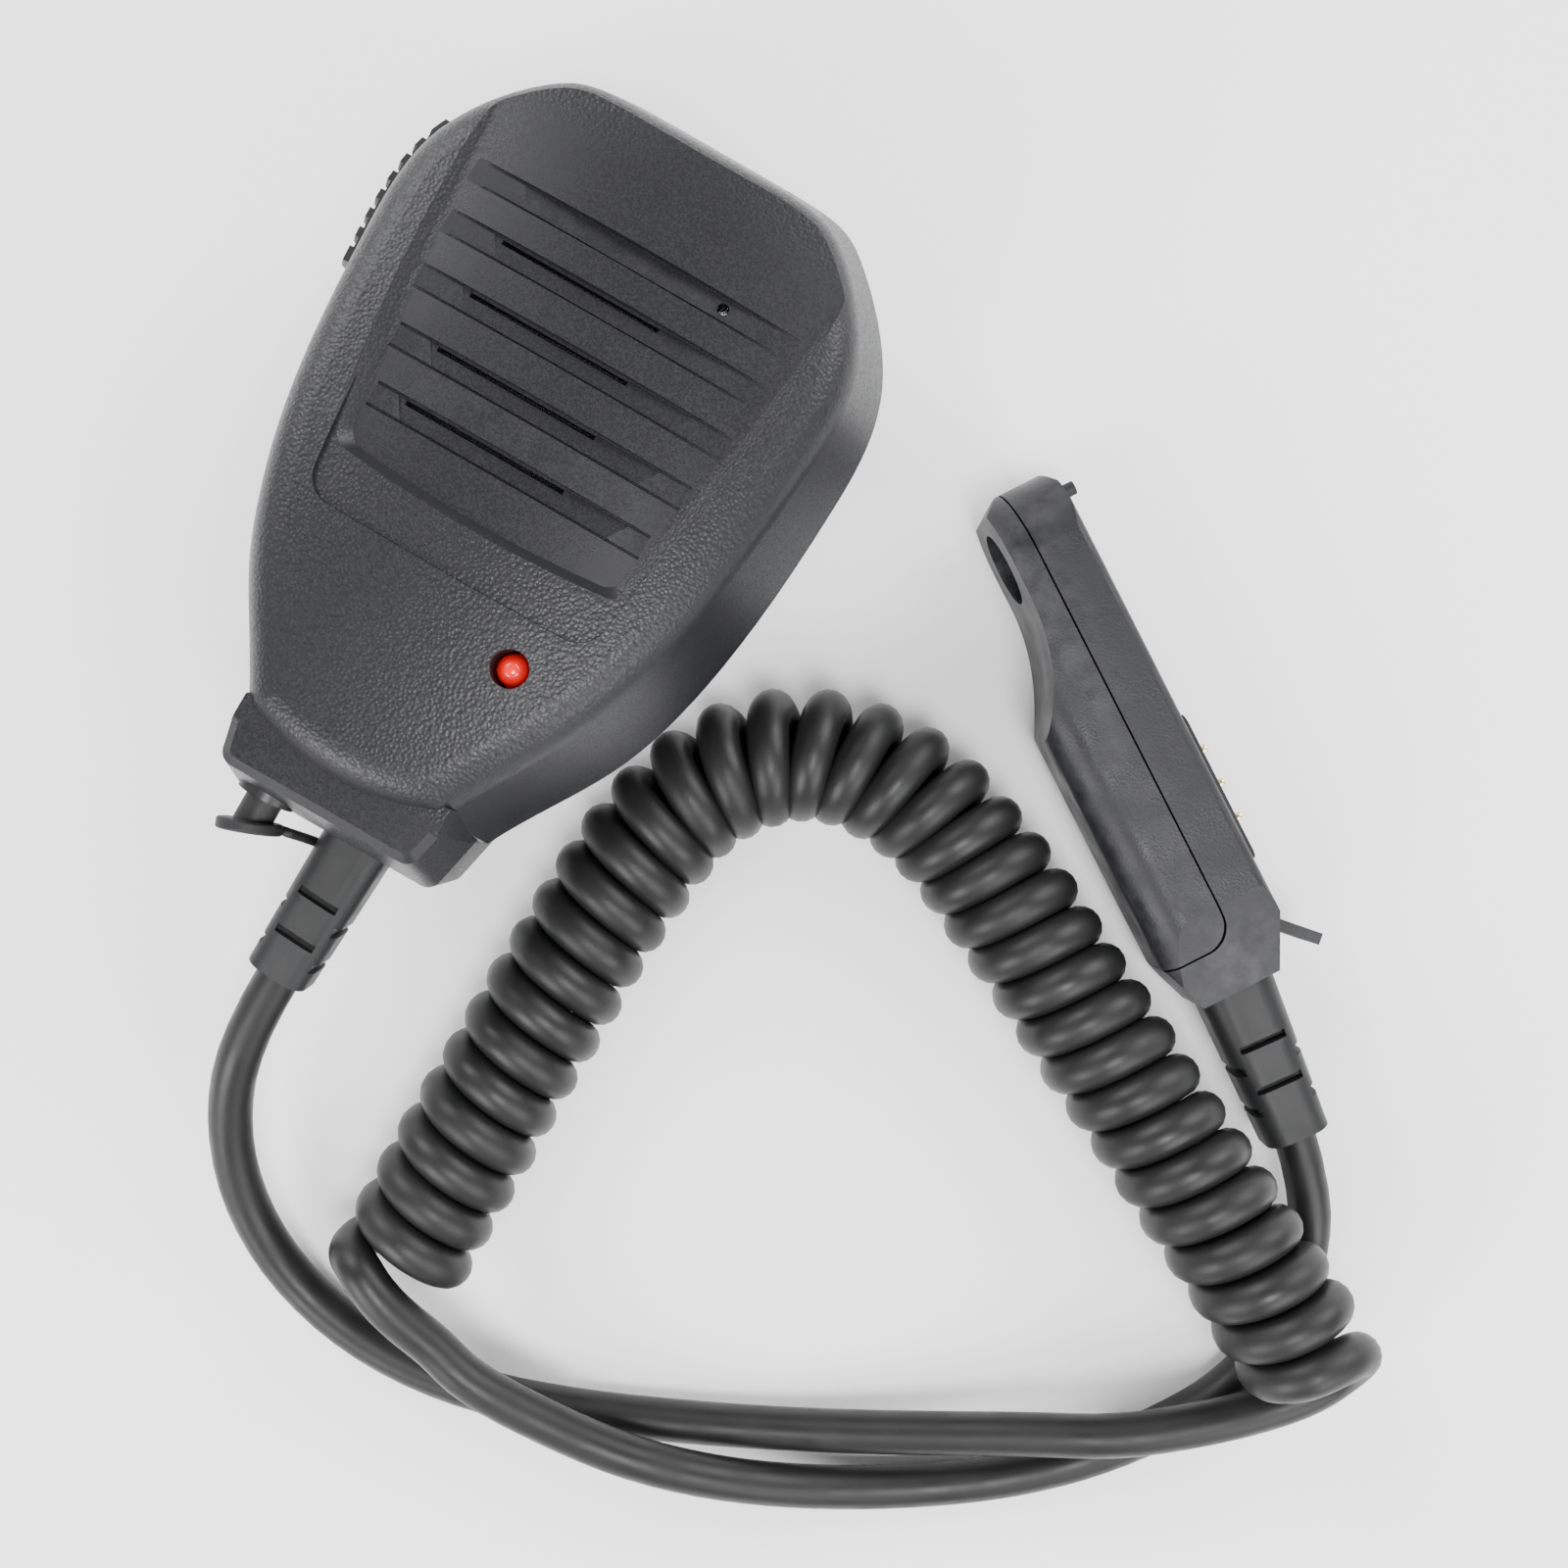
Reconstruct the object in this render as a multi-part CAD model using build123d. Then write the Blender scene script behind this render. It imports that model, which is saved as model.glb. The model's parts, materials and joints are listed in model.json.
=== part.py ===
from build123d import *
import math
import os

# Handheld speaker microphone with a curly cord and a side-fixing plug, in millimetres.
# It lies on its back, on its belt clip. X runs across it, Y from the cord end to the top, and Z up,
# out of the speaker face. The origin is on the underside of the clip, on the clip's swivel axis.

# ---------------------------------------------------------------- driving dimensions
HALF_WIDTH = 27.5  # microphone, at its widest
TOP_Y = 39.5
FOOT_Y = -33.4  # corners of the domed body's foot, above the collar
FOOT_BULGE = 2.2  # how far the foot bows out between them
WALL = 2.2  # side walls of both shells
BACK_Z = 10.0  # outer face of the back shell
# Right half of the seam's outline: x, y, and how far each moves for a millimetre of inset.
SIDE = [
    (13.9, FOOT_Y, 0.85, -0.35), (21.5, -20.4, 1.12, 0.0), (25.8, -5.6, 1.0, 0.0),
    (HALF_WIDTH, 13.0, 1.0, 0.0), (25.7, 27.0, 0.9, 0.35), (17.8, 36.7, 0.5, 0.85), (0.0, TOP_Y, 0.0, 1.0),
]
SEAM_LOW = 21.65  # top edge of the back shell
SEAM_HIGH = 22.35  # bottom edge of the front shell
SIDE_TOP = 42.0  # height at which the front walls would end without the dome
FRONT_DRAFT = 6.3  # lean of the front walls between the seam and that height
BACK_DRAFT = 2.6  # lean of the back walls
EDGE_ROUND = 4.6  # rounding of the dome's edge

CROWN_Z = 38.8  # highest point of the dome
CROWN_Y = -10.0
CROWN_RADIUS_X = 110.0
CROWN_RADIUS_Y = 230.0
FRONT_THICK = 3.6  # speaker face, dome to cavity

COLLAR_Y = -33.8  # joint of the collar with the back shell
COLLAR_END = -40.2
COLLAR_NEAR_W = 13.0  # half widths beside the body and at the end
COLLAR_END_W = 11.6
COLLAR_Z0 = 12.0
COLLAR_LEAN_Z = 24.0  # height above which its walls lean inwards
COLLAR_Z1 = 35.9
COLLAR_SIDE_LEAN = 1.9
COLLAR_WALL = 1.6
COLLAR_CORNER = 1.5
COLLAR_END_LEAN = 2.8
STRAP_FOOT = (-0.4, 13.1)  # x and z of the jack strap's foot in the collar's end wall

PANEL_FOOT = -6.2  # sunk grille panel
PANEL_SIDE = [(48.0, 20.6), (27.2, 18.8), (10.0, 17.2), (PANEL_FOOT, 14.3)]  # y and half width of its floor
PANEL_SUNK = 0.7
PANEL_TILT = 1.1  # degrees, so that it sinks further towards its foot
PANEL_HINGE_Y = 31.0
WALL_RUN = 1.2  # run of the panel's side walls for each millimetre of height
LOUVRE_TOPS = (24.3, 18.7, 12.8, 6.8, 0.9)
LOUVRE_HIGH = 2.6
BAND_DEPTH = 0.6
POCKET_DEPTH = (0.85, 1.15)  # at its foot and at its top
EDGE_LINE = (0.3, 1.3)  # width and depth of the fine groove along each edge of a band
SLOT_HALF = 8.5
SLOT_Y = (-0.8, -0.3)  # sound slot, from the row's top
POCKET_TOP_W = 12.6
POCKET_FOOT_W = 10.9

SPEAKER = (-3.0, 6.5)
SPEAKER_R = 15.0
CAPSULE = (9.7, 23.1)
LED = (9.7, -16.5)
LED_R = 1.55

SCREWS = [(17.0, 28.0), (-17.0, 28.0), (12.5, -24.0), (-12.5, -24.0)]
BOSS_R = 3.0
SCREW_R = 1.2

KEY_Y = (10.4, 27.6)  # push-to-talk key, on the left side
KEY_Z = (16.2, 26.4)
KEY_GAP = 0.4
KEY_PROUD = 0.9
KEY_RIBS = 8
KEY_GROOVE_WIDE = 1.1
KEY_GROOVE_DEEP = 0.45
KEY_CENTRE = (19.0, 21.3)  # y and z of its plunger

BOARD_Z = (17.0, 18.4)

JACK = (-7.35, 25.0)  # earphone socket, x and z
JACK_BORE = 1.8

RELIEF_START = Vector(2.1, -40.2, 19.6)  # where the strain relief leaves the collar
RELIEF_END = Vector(1.1, -56.2, 17.0)

PIVOT_Y = 8.0  # clip hinge pin
PIVOT_Z = 3.9
PIN_R = 1.0
CLIP_HALF = 10.0
ARM_THICK = 2.2
BASE_Z = (6.6, 8.6)

CORD_R = 2.35
COIL_R = 7.5

PLUG_ORIGIN = Vector(73.7, 8.2, 7.7)
PLUG_ANGLE = 56.7  # degrees from +X to the way the mating face looks
PLUG_HALF = 7.6
FACE_X = 3.1  # mating face, in the plug's own frame
OUTER_X = -10.6
NECK_X = -5.6
PLUG_HOLE_Y = 28.9
POST_Y = 33.6  # locating post
HOLE_R = 1.7
HEAD_R = 4.2
PIN_ROWS = (1.7, -2.4, -6.5)
PIN_SPREAD = 3.0
CONTACT_R = 0.55
PARTING_X = -2.6  # seam between the plug's cover and its base
PARTING_GAP = 0.22
CARRIER_Y = (-9.6, 4.8)
CARRIER_Z = 4.9
FOOT_END = -23.0  # cord end of the plug housing
RELIEF_TIP = -41.0
RELIEF_X = -4.3

# Cord routes, chosen by hand: from the microphone to the coil, along the coil, and from the coil to the plug.
ROUTE_MIC = [
    (1.1, -56.2, 17.0), (0.58, -64.57, 15.64), (2.6, -74.5, 11.0), (8.0, -83.2, 6.2),
    (16.5, -89.2, 3.0), (27.5, -91.6, 2.4), (39.5, -90.6, 2.4), (51.5, -86.6, 2.4),
    (63.5, -81.3, 2.4), (75.5, -75.2, 3.0), (86.5, -68.5, 4.8), (96.5, -62.0, 6.9),
    (104.6, -57.2, 8.3), (111.6, -51.6, 8.4), (117.3, -45.4, 8.0), (120.3, -39.8, 7.9),
]
ROUTE_COIL = [
    (26.5, -83.5, 7.6), (26.3, -66.0, 7.6), (26.4, -48.0, 7.6), (26.7, -31.0, 7.6),
    (28.6, -17.2, 7.6), (37.0, -7.2, 7.6), (49.5, -5.0, 7.6), (62.0, -9.6, 7.7),
    (77.5, -17.9, 8.8), (93.0, -26.2, 10.8), (107.0, -33.5, 12.6), (119.0, -39.9, 12.9),
]
ROUTE_PLUG = [
    (23.6, -80.9, 12.6), (30.6, -84.7, 11.5), (39.5, -86.8, 9.8), (49.5, -87.0, 8.4),
    (59.5, -85.9, 8.1), (69.5, -83.6, 6.2), (79.5, -80.2, 3.4), (88.8, -75.2, 2.4),
    (97.2, -69.3, 2.4), (104.3, -62.8, 2.4), (109.9, -55.8, 2.4), (114.6, -48.1, 2.4),
    (116.5, -39.6, 2.4), (115.2, -31.1, 2.9), (111.3, -23.6, 4.9), (105.28, -18.36, 6.1),
]

LOW = (Align.CENTER, Align.CENTER, Align.MIN)  # a solid that stands on its own base

os.makedirs("parts", exist_ok=True)


# ---------------------------------------------------------------- helpers
def save(node, shape):
    """Writes one node's solids, as one compound where there are several."""
    solids = shape.solids()
    whole = solids[0] if len(solids) == 1 else Compound(children=list(solids))
    whole.label = node
    export_step(whole, f"parts/{node}.step")


def block(x, y, z):
    """Box between two limits on each axis."""
    size = (x[1] - x[0], y[1] - y[0], z[1] - z[0])
    middle = ((x[0] + x[1]) / 2, (y[0] + y[1]) / 2, (z[0] + z[1]) / 2)
    return Pos(*middle) * Box(*size)


def disc(x, y, z, radius):
    """Upright cylinder between two heights."""
    return Pos(x, y, (z[0] + z[1]) / 2) * Cylinder(radius, z[1] - z[0])


def ring(x, y, z, inner, outer):
    return disc(x, y, z, outer) - disc(x, y, (z[0] - 1, z[1] + 1), inner)


def rod(start, end, radius):
    """Cylinder from one point to another."""
    start = Vector(*start)
    along = Vector(*end) - start
    return Plane(origin=start, z_dir=along) * Cylinder(radius, along.length, align=LOW)


def turned(x, y, profile):
    """Solid of revolution about an upright axis, from a list of (radius, height) points."""
    face = make_face(Polyline(*[(r, 0, z) for r, z in profile], close=True))
    return Pos(x, y, 0) * revolve(face, Axis.Z)


def prism(points, z):
    """Upright prism over a list of (x, y) corners."""
    face = make_face(Polyline(*[(x, y, z[0]) for x, y in points], close=True))
    return extrude(face, z[1] - z[0], dir=(0, 0, 1))


# ---------------------------------------------------------------- microphone body
def body_face(z, inset):
    """Outline of the microphone body at a height, drawn in by the inset."""
    right = [(x - inset * lean_x, y - inset * lean_y, z) for x, y, lean_x, lean_y in SIDE]
    left = [(-x, y, h) for x, y, h in right]
    foot = (0, right[0][1] - FOOT_BULGE, z)
    ends = [(0.5, 1, 0), (-1, 0, 0)]
    other = [(-0.5, 1, 0), (1, 0, 0)]
    foot_arc = ThreePointArc(left[0], foot, right[0])
    return make_face([Spline(*right, tangents=ends), Spline(*left, tangents=other), foot_arc])


def body_block(z, insets):
    """Body between two heights, with its own inset at each."""
    return loft([body_face(z[0], insets[0]), body_face(z[1], insets[1])], ruled=True)


def dome(crown, radius_x=CROWN_RADIUS_X):
    """Big block whose top bulges across and along, like the side of a barrel."""
    reach = 45.0
    low = -5.0
    sections = []
    for y in (-70.0, -40.0, CROWN_Y, 20.0, 50.0):
        top = crown - CROWN_RADIUS_Y + math.sqrt(CROWN_RADIUS_Y**2 - (y - CROWN_Y) ** 2)
        edge = top - radius_x + math.sqrt(radius_x**2 - reach**2)
        arc = ThreePointArc((-reach, y, edge), (0, y, top), (reach, y, edge))
        walls = Polyline((reach, y, edge), (reach, y, low), (-reach, y, low), (-reach, y, edge))
        sections.append(make_face([arc, walls]))
    return loft(sections)


def collar_face(inset, z):
    """Outline of the collar at a height, drawn in by the inset."""
    lean = max(0.0, (z - COLLAR_LEAN_Z) / (COLLAR_Z1 - COLLAR_LEAN_Z))
    near = COLLAR_NEAR_W - inset - lean * COLLAR_SIDE_LEAN
    end = COLLAR_END + inset + lean * COLLAR_END_LEAN
    taper = (COLLAR_NEAR_W - COLLAR_END_W) / (COLLAR_Y - COLLAR_END)
    far = near - taper * (COLLAR_Y - end)
    right = [(near, COLLAR_Y + 3, z), (near, COLLAR_Y, z), (far, end, z)]
    left = [(-x, y, h) for x, y, h in reversed(right)]
    face = make_face(Polyline(*right, *left, close=True))
    return fillet(face.vertices().sort_by(Axis.Y)[:2], COLLAR_CORNER)


def collar(inset, z):
    """Block at the cord end, which belongs to the front shell: upright walls, then leaning ones."""
    upright = extrude(collar_face(inset, z[0]), COLLAR_LEAN_Z - z[0], dir=(0, 0, 1))
    return upright + loft([collar_face(inset, COLLAR_LEAN_Z), collar_face(inset, z[1])], ruled=True)


def panel_floor():
    """Everything below the sunk grille panel."""
    hinge = Axis((0, PANEL_HINGE_Y, 35.2), (1, 0, 0))
    return dome(CROWN_Z - PANEL_SUNK).rotate(hinge, PANEL_TILT)


def panel_height(y):
    """Height of the sunk panel on the centre line."""
    tilt = math.radians(PANEL_TILT)
    surface = CROWN_Z - PANEL_SUNK - (y - CROWN_Y) ** 2 / (2 * CROWN_RADIUS_Y)
    return surface - (PANEL_HINGE_Y - y) * math.tan(tilt)


def mirrored_face(side, z, corner):
    """Face at a height between (y, half width) points from top to foot, with its two foot corners rounded."""
    right = [(half, y, z) for y, half in side]
    left = [(-x, y, h) for x, y, h in reversed(right)]
    face = make_face(Polyline(*right, *left, close=True))
    return fillet(face.vertices().sort_by(Axis.Y)[:2], corner)


def panel_cut():
    """Material removed to sink the grille panel, with sloping side walls and a steeper foot."""
    sections = []
    for z in (31.0, 41.0):
        side = []
        for y, half in PANEL_SIDE:
            floor_z = panel_height(y) - half**2 / (2 * CROWN_RADIUS_X)
            side.append((y, half + WALL_RUN * (z - floor_z)))
        foot_z = panel_height(PANEL_FOOT)
        side[-1] = (PANEL_FOOT - 0.9 * (z - foot_z), side[-1][1])
        sections.append(mirrored_face(side, z, 2.0))
    return loft(sections, ruled=True) - panel_floor()


def lip_cut():
    """Shallow dished band below the foot of the panel."""
    low = mirrored_face([(0, 16.4), (-11.2, 15.0)], 36.0, 3.0)
    high = mirrored_face([(0, 17.2), (-12.2, 15.8)], 41.0, 3.0)
    sunk = 0.4
    return loft([low, high], ruled=True) - dome(CROWN_Z - sunk)


def panel_half(y):
    """Half width of the panel's floor."""
    for (upper_y, upper), (lower_y, lower) in zip(PANEL_SIDE, PANEL_SIDE[1:]):
        if y >= lower_y:
            return lower + (upper - lower) * (y - lower_y) / (upper_y - lower_y)


def band_face(y, reach):
    """Section of a louvre's shallow band: deepest in the middle, and gone where it meets the panel's side."""
    z = panel_height(y)
    edge = z - reach**2 / (2 * CROWN_RADIUS_X)
    arc = ThreePointArc((-reach, y, edge), (0, y, z - BAND_DEPTH), (reach, y, edge))
    walls = Polyline((reach, y, edge), (reach, y, z + 2), (-reach, y, z + 2), (-reach, y, edge))
    return make_face([arc, walls])


def louvre_cuts():
    """Five rows: a shallow band between two fine grooves, a deeper pocket in it, and a sound slot."""
    wide, deep = EDGE_LINE
    cuts = []
    for row, top in enumerate(LOUVRE_TOPS):
        foot = top - LOUVRE_HIGH
        high = panel_height(top)
        low = panel_height(foot)
        reach = panel_half(foot) - 0.4
        cuts.append(loft([band_face(foot, reach), band_face(top, reach)], ruled=True))
        cuts.append(block((-reach, reach), (foot, foot + wide), (low - deep, high + 2)))
        cuts.append(block((-reach, reach), (top - wide, top), (high - deep, high + 2)))
        floor = [(0, foot, low - POCKET_DEPTH[0]), (0, top, high - POCKET_DEPTH[1])]
        wedge = [*floor, (0, top, high + 2), (0, foot, low + 2)]
        pocket = extrude(make_face(Polyline(*wedge, close=True)), POCKET_TOP_W, dir=(1, 0, 0), both=True)
        outline = [(POCKET_TOP_W, top), (POCKET_FOOT_W, foot), (-POCKET_FOOT_W, foot), (-POCKET_TOP_W, top)]
        cuts.append(pocket & prism(outline, (low - 3, high + 4)))
        if row:
            slot_x = (SPEAKER[0] - SLOT_HALF, SPEAKER[0] + SLOT_HALF)
            cuts.append(block(slot_x, (top + SLOT_Y[0], top + SLOT_Y[1]), (30, high)))
    return cuts


def key_window():
    y = (KEY_Y[0] - KEY_GAP, KEY_Y[1] + KEY_GAP)
    z = (KEY_Z[0] - KEY_GAP, KEY_Z[1] + KEY_GAP)
    return block((-34, -20.4), y, z)


def front_shell():
    """Domed front with the collar, the grille, the light's hole, and screw and speaker bosses inside."""
    body = body_block((SEAM_HIGH, SIDE_TOP), (0, FRONT_DRAFT)) & dome(CROWN_Z)
    rim = [e for e in body.edges() if e.bounding_box().min.Z > 30]
    body = fillet(rim, EDGE_ROUND)
    neck = collar(0, (COLLAR_Z0, COLLAR_Z1)) - block((-20, 20), (COLLAR_Y, 0), (0, SEAM_HIGH))
    face_edges = [e for e in neck.edges() if e.bounding_box().min.Z > COLLAR_Z1 - 0.1]
    body = body + chamfer([e for e in face_edges if e.center().Y < COLLAR_Y + 1], 0.8)
    body = body - panel_cut() - lip_cut()
    for cut in louvre_cuts():
        body = body - cut
    body = body - rod((*LED, 30), (*LED, 42), LED_R + 0.3) - rod((*CAPSULE, 30), (*CAPSULE, 42), 0.6)
    body = body - rod((JACK[0], -42, JACK[1]), (JACK[0], -36, JACK[1]), 3.1)
    foot_x, foot_z = STRAP_FOOT
    body = body - rod((foot_x, -42, foot_z), (foot_x, -38, foot_z), 0.7)
    body = body - rod(RELIEF_START + relief_along() * 2, RELIEF_START + relief_back() * 4, 3.2)
    cavity = body_block((SEAM_HIGH - 1, SIDE_TOP), (WALL, WALL + FRONT_DRAFT)) & dome(CROWN_Z - FRONT_THICK)
    cavity = cavity - block((-20, 20), (-50, COLLAR_Y + 1.5), (0, 50))
    cavity = cavity - ring(*SPEAKER, (29.0, 40), SPEAKER_R + 0.25, SPEAKER_R + 1.4)
    for x, y in SCREWS:
        post_base = 29.5
        cavity = cavity - disc(x, y, (SEAM_HIGH - 2, 40), BOSS_R)
        cavity = cavity + disc(x, y, (SEAM_HIGH - 1, post_base), SCREW_R + 0.02)
    body = body - cavity
    body = body - collar(COLLAR_WALL, (COLLAR_Z0 + 2, COLLAR_Z1 - 2.6))
    return body - key_window()


def back_shell():
    """Dished back with four screw bosses and a pad for the clip's screw."""
    outer = body_block((BACK_Z, SEAM_LOW), (BACK_DRAFT, 0))
    rim = [e for e in outer.edges() if e.bounding_box().max.Z < BACK_Z + 0.1]
    outer = fillet(rim, 2.4)
    outer = outer - block((-40, 40), (-60, COLLAR_Y + 0.15), (0, 30))
    cavity = body_block((BACK_Z + 2, SEAM_LOW + 1), (BACK_DRAFT + WALL, WALL))
    cavity = cavity - block((-40, 40), (-60, COLLAR_Y + 2.2), (0, 30))
    for x, y in SCREWS:
        cavity = cavity - disc(x, y, (BACK_Z, SEAM_LOW + 2), BOSS_R)
    cavity = cavity - disc(0, 0, (BACK_Z + 1, BACK_Z + 5), 5.5)
    shell = outer - cavity
    bead_z = (20.2, 20.7)
    shell = shell - (body_block(bead_z, (-2, -2)) - body_block(bead_z, (0.55, 0.55)))
    for x, y in SCREWS:
        shell = shell - disc(x, y, (BACK_Z - 1, BACK_Z + 2.6), 2.8)
        shell = shell - disc(x, y, (BACK_Z, SEAM_LOW + 1), SCREW_R + 0.3)
    shell = shell - disc(0, 0, (BACK_Z - 1, BACK_Z + 6), 1.45)
    shell = shell - block((-11.4, 11.4), (-40, -30), (COLLAR_Z0 + 2, 30))
    return shell - key_window()


def shell_gasket():
    """Rubber ring in the seam, open at the key and at the collar."""
    z = (SEAM_LOW, SEAM_HIGH)
    seal = body_block(z, (0.5, 0.5)) - body_block((z[0] - 1, z[1] + 1), (1.8, 1.8))
    seal = seal - block((-40, 40), (-60, COLLAR_Y + 0.4), (0, 40))
    return (seal - key_window()).solids().sort_by(SortBy.VOLUME)[-1]


def housing_screws():
    screws = []
    for x, y in SCREWS:
        head = disc(x, y, (BACK_Z + 0.7, BACK_Z + 2.6), 2.5)
        slot = block((x - 1.6, x + 1.6), (y - 0.25, y + 0.25), (BACK_Z, BACK_Z + 1.5))
        cross = block((x - 0.25, x + 0.25), (y - 1.6, y + 1.6), (BACK_Z, BACK_Z + 1.5))
        screws.append(head - slot - cross + disc(x, y, (BACK_Z + 2.4, 29.0), SCREW_R))
    return Compound(children=screws)


# ---------------------------------------------------------------- speaker, microphone capsule and light
def grille_cloth():
    return disc(*SPEAKER, (32.3, 32.6), SPEAKER_R - 0.1)


def speaker_frame():
    """Stamped basket with a flange, open in the middle for the voice coil."""
    profile = [
        (15.0, 32.2), (15.0, 30.9), (13.6, 30.9), (9.4, 26.2), (9.4, 25.5), (5.2, 25.5),
        (5.2, 26.3), (8.9, 26.3), (12.9, 31.0), (14.2, 31.0), (14.2, 32.2),
    ]
    basket = turned(*SPEAKER, profile)
    for turn in range(4):
        window = Rot(0, 0, 45 + 90 * turn) * block((9.6, 12.2), (-2.6, 2.6), (26.6, 30.6))
        basket = basket - Pos(*SPEAKER, 0) * window
    return basket


def speaker_magnet():
    body = disc(*SPEAKER, (21.9, 25.5), 8.5)
    return body - ring(*SPEAKER, (22.9, 26.0), 3.6, 4.7)


def speaker_cone():
    """Paper cone, dust cap and voice coil former in one moving piece."""
    profile = [
        (11.3, 31.4), (11.3, 31.05), (4.35, 28.0), (4.35, 24.0), (3.95, 24.0), (3.95, 28.3),
        (2.6, 29.2), (0.0, 29.6), (0.0, 29.95), (2.8, 29.5), (4.2, 28.6), (10.9, 31.4),
    ]
    return turned(*SPEAKER, profile)


def speaker_surround():
    """Soft roll between the cone and the basket."""
    profile = [
        (11.4, 31.05), (14.1, 31.05), (14.1, 31.35), (13.7, 31.35),
        (13.2, 31.9), (12.2, 31.9), (11.8, 31.4), (11.4, 31.4),
    ]
    return turned(*SPEAKER, profile)


def mic_boot():
    outer = disc(*CAPSULE, (25.5, 31.0), 4.0)
    return outer - disc(*CAPSULE, (25.0, 30.2), 3.05) - disc(*CAPSULE, (30.0, 33.0), 1.0)


def mic_capsule():
    can = disc(*CAPSULE, (26.3, 30.1), 3.0)
    legs = [disc(CAPSULE[0] + dx, CAPSULE[1], (BOARD_Z[1], 26.4), 0.3) for dx in (-1.3, 1.3)]
    return can - disc(*CAPSULE, (29.8, 30.3), 0.8) + legs[0] + legs[1]


def led_lens():
    """Domed red light on two legs."""
    top = 36.0
    body = disc(*LED, (31.0, top), LED_R) + disc(*LED, (31.0, 31.9), LED_R + 0.3)
    body = body + Pos(*LED, top) * Sphere(LED_R)
    legs = [disc(LED[0] + dx, LED[1], (BOARD_Z[1], 31.2), 0.3) for dx in (-0.9, 0.9)]
    return body + legs[0] + legs[1]


# ---------------------------------------------------------------- circuit board and push-to-talk key
def circuit_board():
    """Board with its larger components, cleared round the screw bosses, the key and the cable clamp."""
    board = body_block(BOARD_Z, (5.6, 5.6)) - block((-40, 40), (-60, -27.2), (0, 40))
    board = board - block((-40, -18.8), (KEY_Y[0] - 2, KEY_Y[1] + 2), (0, 40))
    for x, y in SCREWS:
        board = board - disc(x, y, (16, 20), BOSS_R + 0.5)
    board = board.solids().sort_by(SortBy.VOLUME)[-1]
    chips = [
        ((-8, 0), (-20, -12), 1.4), ((3, 8), (-9, -3), 1.2), ((-14, -9), (-6, 4), 1.1),
        ((12, 18), (-4, 6), 2.4), ((-6, 4), (24, 31), 1.6),
    ]
    for x, y, high in chips:
        board = board + block(x, y, (BOARD_Z[0] + 0.5, BOARD_Z[1] + high))
    for x, y in ((-14.0, 12.0), (-10.5, 12.0), (14.5, -12.0)):
        board = board + disc(x, y, (BOARD_Z[0] + 0.5, BOARD_Z[1] + 2.8), 1.5)
    return board


def front_lean(z):
    """How far the front shell's wall has leaned in at a height."""
    return FRONT_DRAFT * (z - SEAM_HIGH) / (SIDE_TOP - SEAM_HIGH)


def key_solid(inset, z):
    """Body at one inset: upright below the seam, and leaning with the front shell above it."""
    upper = body_block((SEAM_HIGH, z[1]), (inset, inset + front_lean(z[1])))
    return body_block((z[0], SEAM_HIGH), (inset, inset)) + upper


def key_slab(z, y, insets):
    """Slice of the left wall between two insets, within a height and a length."""
    slab = key_solid(insets[0], z) - key_solid(insets[1], (z[0] - 1, z[1] + 1))
    return slab & block((-40, -15), y, z)


def ptt_key():
    """Ribbed key: its pad stands in the window, and its flange behind the wall keeps it in."""
    inner_y = (KEY_Y[0], 24.2)
    pad = key_slab(KEY_Z, KEY_Y, (-KEY_PROUD, 2.4))
    low_face = pad.faces().sort_by(Axis.X)[:2].sort_by(Axis.Z)[0]
    pitch = (KEY_Y[1] - KEY_Y[0]) / KEY_RIBS
    top = 30.0
    for n in range(1, KEY_RIBS):
        y = KEY_Y[0] + n * pitch
        x = low_face.closest_points(Pos(-HALF_WIDTH - 1, y, 19) * Vertex())[0].X
        floor_x = x + KEY_GROOVE_DEEP
        floor = [(floor_x, y, 10), (floor_x, y, SEAM_HIGH), (floor_x + front_lean(top), y, top)]
        groove = make_face(Polyline(*floor, (x - 3, y, top), (x - 3, y, 10), close=True))
        pad = pad - extrude(groove, KEY_GROOVE_WIDE / 2, dir=(0, 1, 0), both=True)
    stem = key_slab(KEY_Z, inner_y, (2.3, 4.7))
    flange = key_slab((KEY_Z[0] - 1.4, KEY_Z[1] + 1.4), (inner_y[0] - 1.2, inner_y[1]), (4.6, 5.4))
    nub = rod((-22.8, *KEY_CENTRE), (-21.3, *KEY_CENTRE), 1.6)
    return pad + stem + flange + nub


def ptt_plunger():
    return rod((-21.3, *KEY_CENTRE), (-18.2, *KEY_CENTRE), 1.45)


def ptt_switch():
    """Side-acting switch on the edge of the board."""
    case = block((-19.0, -14.4), (16.0, 22.0), (BOARD_Z[1], 24.3))
    return case - rod((-22.0, *KEY_CENTRE), (-16.8, *KEY_CENTRE), 1.53)


# ---------------------------------------------------------------- cord end of the microphone
def earphone_jack():
    x, z = JACK
    case = block((x - 2.3, x + 3.6), (-36.5, -27.2), (z - 3.2, z + 2.6))
    barrel = rod((x, -36.5, z), (x, -40.1, z), 3.0)
    return case + barrel - rod((x, -41, z), (x, -28.5, z), JACK_BORE)


def jack_cover():
    """Rubber dust plug: a pin in the socket, a thicker neck and a tilted cap."""
    x, z = JACK
    pin = rod((x, -30.5, z), (x, -40.3, z), JACK_BORE - 0.1)
    neck = rod((x, -40.25, z), (x, -43.4, z), 1.9)
    cap = Pos(x, -43.4, z) * Rot(90, 0, 0) * Cylinder(3.3, 1.2)
    cap = fillet(cap.edges(), 0.3).rotate(Axis((x, -43.4, z), (0, 0, 1)), 20)
    return pin + neck + cap


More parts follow.
